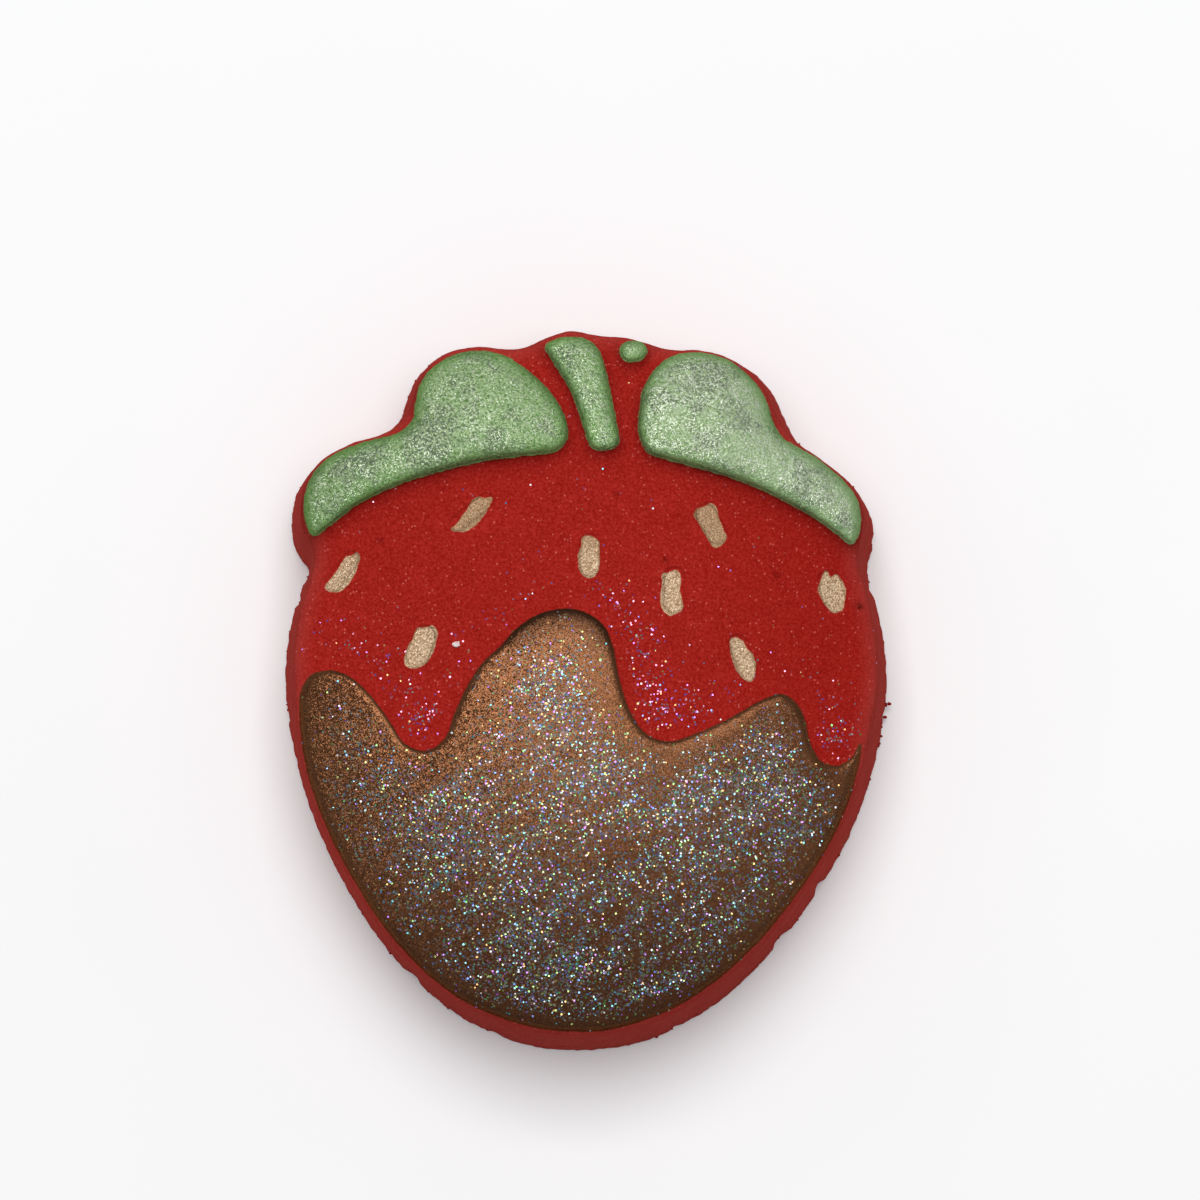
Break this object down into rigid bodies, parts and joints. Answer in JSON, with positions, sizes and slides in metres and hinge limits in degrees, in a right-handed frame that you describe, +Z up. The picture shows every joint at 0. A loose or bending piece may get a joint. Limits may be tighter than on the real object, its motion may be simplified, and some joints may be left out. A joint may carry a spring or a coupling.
{
  "type": "strawberry shaped bath bomb",
  "caption": "Pressed powder bath bomb shaped like a dipped strawberry, with a raised dripping coating, leaves, a stem bar and sunk seeds. It lies on its flat back.",
  "frame": {"origin": "under the middle of the outline, on the surface that the flat back rests on", "axes": "+X across the fruit, +Y from its point to its leaves, +Z up out of the decorated front"},
  "size_m": [0.0636, 0.076, 0.0245],
  "materials": {
    "pressed_powder": "dry pressed bath bomb powder coloured red, chalky and finely grained; the front is hand painted with mica"
  },
  "bodies": {
    "root": {"pressed_strawberry": "pressed_powder"}
  },
  "joints": []
}
